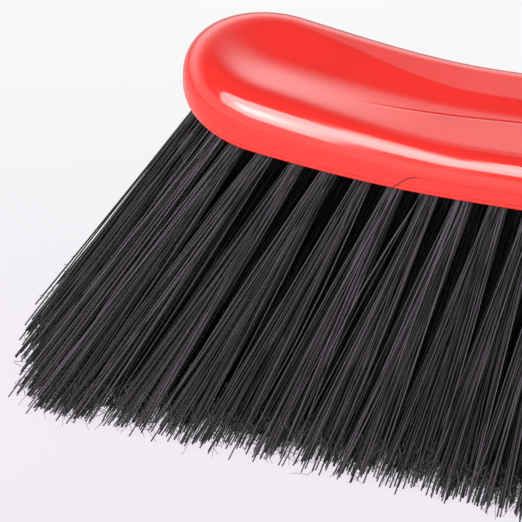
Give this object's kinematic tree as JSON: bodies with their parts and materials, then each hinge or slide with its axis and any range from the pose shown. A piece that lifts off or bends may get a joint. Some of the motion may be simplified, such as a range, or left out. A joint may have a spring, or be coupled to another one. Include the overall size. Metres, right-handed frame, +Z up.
{
  "type": "angled broom",
  "caption": "Floor broom with a long, scooped head, fanned tufts of black bristle and a leaning tube handle that screws into the head.",
  "frame": {"origin": "centre of the bounding box's bottom face, in the plane of the bristle tips, where the broom stands", "axes": "+Z up; X runs along the head, with the long bristle at -X and the handle leaning to +X; Y runs across the head"},
  "size_m": [0.4232, 0.086, 1.3497],
  "materials": {
    "head_plastic": "polished moulding, glossy all over",
    "bristle": "drawn fibre, satin, flagged at the tips",
    "tube": "powder coat, semi-gloss",
    "handle_plastic": "fine moulded texture"
  },
  "bodies": {
    "head": {"head_block": "head_plastic", "outer_tufts_front": "bristle", "outer_tufts_back": "bristle", "outer_tufts_left": "bristle", "outer_tufts_right": "bristle", "inner_tufts_front": "bristle", "inner_tufts_back": "bristle", "inner_tufts_left": "bristle", "inner_tufts_right": "bristle", "centre_tufts": "bristle"},
    "handle": {"handle_tube": "tube"},
    "handle_fittings": {"thread_tip": "handle_plastic", "hang_cap": "handle_plastic"}
  },
  "joints": [
    {"name": "handle_travel", "type": "slide", "parent": "head", "child": "handle", "axis": [0.1736, 0, 0.9848], "range_m": [0, 0.0254]},
    {"name": "handle_turn", "type": "hinge", "parent": "handle", "child": "handle_fittings", "pos_m": [-0.01794, -0.00014, 0.10409], "axis": [0.1736, 0, 0.9848], "range_deg": [0, 1800]}
  ],
  "couplings": [
    {"joint": "handle_turn", "follows": "handle_travel", "rad_per_m": 1236.8}
  ]
}
